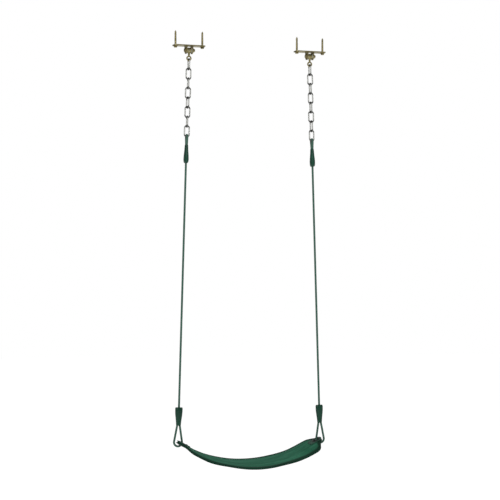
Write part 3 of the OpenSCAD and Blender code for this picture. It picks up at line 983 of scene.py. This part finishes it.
def belt_middle(distance):
    """The belt's middle line at a distance along it from its lowest point: x, z, slope."""
    sign = math.copysign(1, distance)
    curve = BELT_R * BELT_END_ANGLE
    if abs(distance) <= curve:
        angle = distance / BELT_R
        return BELT_R * math.sin(angle), BELT_R * (1 - math.cos(angle)) - BELT_SAG, angle
    beyond = abs(distance) - curve
    x = BELT_R * math.sin(BELT_END_ANGLE) + beyond * math.cos(BELT_END_ANGLE)
    z = BELT_R * (1 - math.cos(BELT_END_ANGLE)) - BELT_SAG + beyond * math.sin(BELT_END_ANGLE)
    return sign * x, z, sign * BELT_END_ANGLE


def belt_half_outline(beyond, side):
    """Distance of the belt's rear (1) or front (-1) edge from the eyelet's line, at a
    distance past the end of the curve: a round corner, a straight taper and a round tip."""
    shoulder = BELT_HALF_WIDTH - BELT_CORNER_R - side * SEAT_OFFSET
    if beyond <= BELT_CORNER_X:
        return shoulder + BELT_CORNER_R
    to_tip = EYELET_X - BELT_CORNER_X
    slope = (math.atan2(shoulder, to_tip)
             + math.asin((BELT_CORNER_R - BELT_TIP_R) / math.hypot(to_tip, shoulder)))
    corner_end = BELT_CORNER_X + BELT_CORNER_R * math.sin(slope)
    tip_start = EYELET_X + BELT_TIP_R * math.sin(slope)
    if beyond < corner_end:
        return shoulder + math.sqrt(BELT_CORNER_R ** 2 - (beyond - BELT_CORNER_X) ** 2)
    if beyond < tip_start:
        return shoulder + BELT_CORNER_R * math.cos(slope) - (beyond - corner_end) * math.tan(slope)
    return math.sqrt(max(1e-9, BELT_TIP_R ** 2 - (beyond - EYELET_X) ** 2))


def belt_edges(beyond):
    """Rear and front edge of the belt's outline at a distance past the end of its curve."""
    if beyond <= 0:
        return BELT_HALF_WIDTH - SEAT_OFFSET, -BELT_HALF_WIDTH - SEAT_OFFSET
    return belt_half_outline(beyond, 1), -belt_half_outline(beyond, -1)


def edge_squareness(beyond, side):
    """Cosine of the angle between the belt's edge and its length."""
    step = 0.0002
    fall = (belt_half_outline(beyond - step, side) - belt_half_outline(beyond + step, side)) / 2 / step
    return 1 / math.hypot(1, fall)


def belt_row(distance):
    """Across the belt at one distance along it: (y, distance in from the nearest edge)."""
    beyond = abs(distance) - BELT_R * BELT_END_ANGLE
    rear, front = belt_edges(beyond)
    width = rear - front
    rear_square, front_square = edge_squareness(beyond, 1), edge_squareness(beyond, -1)
    most = 0.45 * width / EDGE_STEPS[-1]
    rear_scale, front_scale = min(1 / rear_square, most), min(1 / front_square, most)
    row = [(front + step * front_scale, step * front_scale * front_square) for step in EDGE_STEPS]
    start, end = row[-1][0], rear - EDGE_STEPS[-1] * rear_scale
    for step in range(1, MIDDLE_STEPS):
        y = start + (end - start) * step / MIDDLE_STEPS
        row.append((y, min((y - front) * front_square, (rear - y) * rear_square)))
    row += [(rear - step * rear_scale, step * rear_scale * rear_square) for step in reversed(EDGE_STEPS)]
    return row


def belt_half_thickness(inset):
    """A round bead along every edge, then the flat web."""
    bead = math.sqrt(max(0.0, RIM_R ** 2 - (inset - RIM_R) ** 2)) if inset < 2 * RIM_R else 0
    return bead if inset < RIM_R else max(bead, BELT_THICKNESS / 2)


def belt_section(distance):
    """Top and bottom points across the belt, and the painted shade of each."""
    x, z, slope = belt_middle(distance)
    normal = Vector((-math.sin(slope), 0, math.cos(slope)))
    end_share = smooth_step((abs(distance) - BELT_R * BELT_END_ANGLE + 0.045) / 0.03)
    droop = MIDDLE_DROOP + END_DROOP * smooth_step((abs(distance) - 0.10) / 0.10)
    top, bottom, top_shade, bottom_shade = [], [], [], []
    for y, inset in belt_row(distance):
        across = y + SEAT_OFFSET
        half = belt_half_thickness(inset)
        seat_share = (1 - end_share) * smooth_step((inset - 0.018) / 0.006)
        wave = (0.5 + 0.5 * math.cos(math.tau * across / RIB_PITCH)) ** 3
        sag = droop * (max(0.0, abs(y) - FLAT_HALF_WIDTH) / 0.057) ** 2
        ripple = RIPPLE_RISE * math.sin(distance * 21 + 0.8) * math.sin(across * 23 + 0.5) * (1 - end_share)
        base = Vector((x, y, z)) + normal * (ripple - sag)
        top.append(base + normal * (half + RIB_RISE * seat_share * wave))
        bottom.append(base - normal * half)
        # Painted shade on the rims and the underside, painted highlight on the rib crests
        rim = RIM_SHADE + (1 - RIM_SHADE) * smooth_step((inset - 0.0080) / 0.0170)
        top_shade.append(rim * (1 + 0.22 * seat_share * wave))
        bottom_shade.append(BOTTOM_SHADE * rim)
    return top + bottom[::-1], top_shade + bottom_shade[::-1]


def belt_tip_faces(first, count, forward):
    """Quads between the top and the bottom points of the belt's first or last section."""
    faces = [[first + step, first + step + 1, first + count - 2 - step, first + count - 1 - step]
             for step in range(count // 2 - 1)]
    return faces if forward else [face[::-1] for face in faces]


def make_belt(material):
    curve = BELT_R * BELT_END_ANGLE
    end_steps = [curve + BELT_STRAIGHT * math.sin(math.pi / 2 * step / 64) for step in range(1, 65)]
    stations = [-step for step in reversed(end_steps)] + list(np.linspace(-curve, curve, 201)) + end_steps
    sections, shades = zip(*(belt_section(distance) for distance in stations))
    points = [tuple(point) for section in sections for point in section]
    count = len(sections[0])
    faces = [face[::-1] for face in grid_faces(len(sections), count)]
    faces += belt_tip_faces(0, count, True)
    faces += belt_tip_faces((len(sections) - 1) * count, count, False)
    belt = make_piece("seat_belt_moulding", points, faces, seat_frame(), material, "seat", "belt")
    shade = belt.data.color_attributes.new("shade", "FLOAT_COLOR", "POINT")
    values = np.ones((len(points), 4))
    values[:, :3] = np.concatenate([np.array(row) for row in shades])[:, None]
    shade.data.foreach_set("color", values.ravel())
    cut_eyelet_holes(belt, material)
    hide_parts("seat_belt")


def cut_eyelet_holes(belt, material):
    for side in SIDES:
        place = belt_end_frame(side) @ Matrix.Translation((EYELET_X, 0, 0))
        part = rod_part(EYELET_BODY_R + 0.0001, -0.01, 0.01)
        cut_with(belt, make_piece("hole_cutter", *part, place, material, "seat", "belt"), "EXACT")


# ---- belt ends ----

EYELET_BODY_R = 0.0145
EYELET_BORE_R = 0.0095
EYELET_FLANGE_R = 0.0175
EYELET_FLARE = 0.007
END_PLATE_H = 0.0025


def eyelet_profile():
    """A flanged spool round the hole, its bore a half round that the rope can't chafe on."""
    half = BELT_THICKNESS / 2 + END_PLATE_H
    flare, flange_r = EYELET_FLARE, EYELET_FLANGE_R
    profile = [(EYELET_BODY_R, -half), (EYELET_BODY_R, half), (flange_r - 0.0003, half),
               (flange_r, half + 0.0004), (flange_r - 0.0002, half + 0.0011), (flange_r - 0.0007, flare)]
    profile += [(EYELET_BORE_R + flare - flare * math.cos(t), flare * math.sin(t))
                for t in (math.pi / 2 * (1 - step / 12) for step in range(25))]
    profile += [(flange_r - 0.0007, -flare), (flange_r - 0.0002, -half - 0.0011),
                (flange_r, -half - 0.0004), (flange_r - 0.0003, -half)]
    return profile


def make_eyelets(material):
    for side in SIDES:
        place = belt_end_frame(side) @ Matrix.Translation((EYELET_X, 0, 0))
        piece = make_piece(f"{side}_eyelet_spool", *lathe(eyelet_profile(), 72), place, material, "seat",
                           "eyelet_nylon")
        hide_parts(f"{side}_eyelet")


def soften_cad_nodes(materials):
    """The CAD nodes whose shape is right get their material and small rounded edges."""
    kept = {"hanger_plate": ("yellow_zinc", 0.0008), "lag_washers": ("yellow_zinc", 0.0003),
            "pivot_bushings": ("nylon", 0.0002), "top_end_plate": ("end_plate_paint", 0.0006),
            "bottom_end_plate": ("end_plate_paint", 0.0006), "rivets": ("rivet_steel", 0.0001)}
    for side in SIDES:
        for name, (material, width) in kept.items():
            node = frame["nodes"][f"{side}_{name}"]
            node.data.materials.clear()
            node.data.materials.append(materials[material])
            bevel = node.modifiers.new("soft_edges", "BEVEL")
            bevel.width = width
            bevel.segments = 3
            bevel.limit_method = "ANGLE"
            bevel.angle_limit = math.radians(35)


# ---- stage ----

FLOOR_GLOW = 0.74
ROOM_LIGHT = 0.32
FLOOR_Z = -2.26
FLOOR_HALF_SIZE = 40
# Place, power in watts and width of each square lamp
LAMPS = {"key": ((-2.6, -3.8, 2.4), 230, 2.0), "fill": ((3.6, -3.2, 0.4), 30, 2.4),
         "rim": ((1.0, 2.6, 2.6), 22, 1.6)}
LAMP_TARGET = Vector((0, 0, -1.0))


def make_world():
    """A white backdrop, in a room whose own light is soft and dimmer."""
    world = bpy.data.worlds.new("studio")
    bpy.context.scene.world = world
    world.use_nodes = True
    nodes, links = world.node_tree.nodes, world.node_tree.links
    room = nodes["Background"]
    room.inputs["Color"].default_value = (1, 1, 1, 1)
    room.inputs["Strength"].default_value = ROOM_LIGHT
    backdrop = nodes.new("ShaderNodeBackground")
    backdrop.inputs["Color"].default_value = (1, 1, 1, 1)
    rays = nodes.new("ShaderNodeLightPath")
    choose = nodes.new("ShaderNodeMixShader")
    links.new(rays.outputs["Is Camera Ray"], choose.inputs["Fac"])
    links.new(room.outputs["Background"], choose.inputs[1])
    links.new(backdrop.outputs["Background"], choose.inputs[2])
    links.new(choose.outputs["Shader"], nodes["World Output"].inputs["Surface"])


def make_floor():
    floor = bpy.data.objects.new("floor", bpy.data.meshes.new("floor"))
    size = FLOOR_HALF_SIZE
    floor.data.from_pydata([(-size, -size, FLOOR_Z), (size, -size, FLOOR_Z), (size, size, FLOOR_Z),
                            (-size, size, FLOOR_Z)], [], [[0, 1, 2, 3]])
    floor.data.materials.append(floor_paint())
    bpy.context.scene.collection.objects.link(floor)


def make_lamps():
    for name, (place, power, width) in LAMPS.items():
        data = bpy.data.lights.new(name, "AREA")
        data.energy = power
        data.size = width
        light = bpy.data.objects.new(name, data)
        light.location = place
        light.rotation_euler = (LAMP_TARGET - Vector(place)).to_track_quat("-Z", "Y").to_euler()
        bpy.context.scene.collection.objects.link(light)


make_camera()
MATERIALS = {make.__name__: make() for make in (
    galvanised, nylon, rope_fibre, clamp_plastic, belt_plastic, end_plate_paint, black_nylon, rivet_steel)}
MATERIALS["yellow_zinc"] = zinc_yellow()
make_ropes(MATERIALS["rope_fibre"])
make_clamps(MATERIALS["clamp_plastic"])
make_chains(MATERIALS["galvanised"])
make_lag_screws(MATERIALS["yellow_zinc"])
make_pivot_bolts(MATERIALS["yellow_zinc"])
make_welds(MATERIALS["yellow_zinc"])
make_swing_eyes(MATERIALS["yellow_zinc"])
make_belt(MATERIALS["belt_plastic"])
make_eyelets(MATERIALS["black_nylon"])
soften_cad_nodes(MATERIALS)
make_floor()
make_world()
make_lamps()
bpy.context.scene.view_settings.view_transform = "Standard"
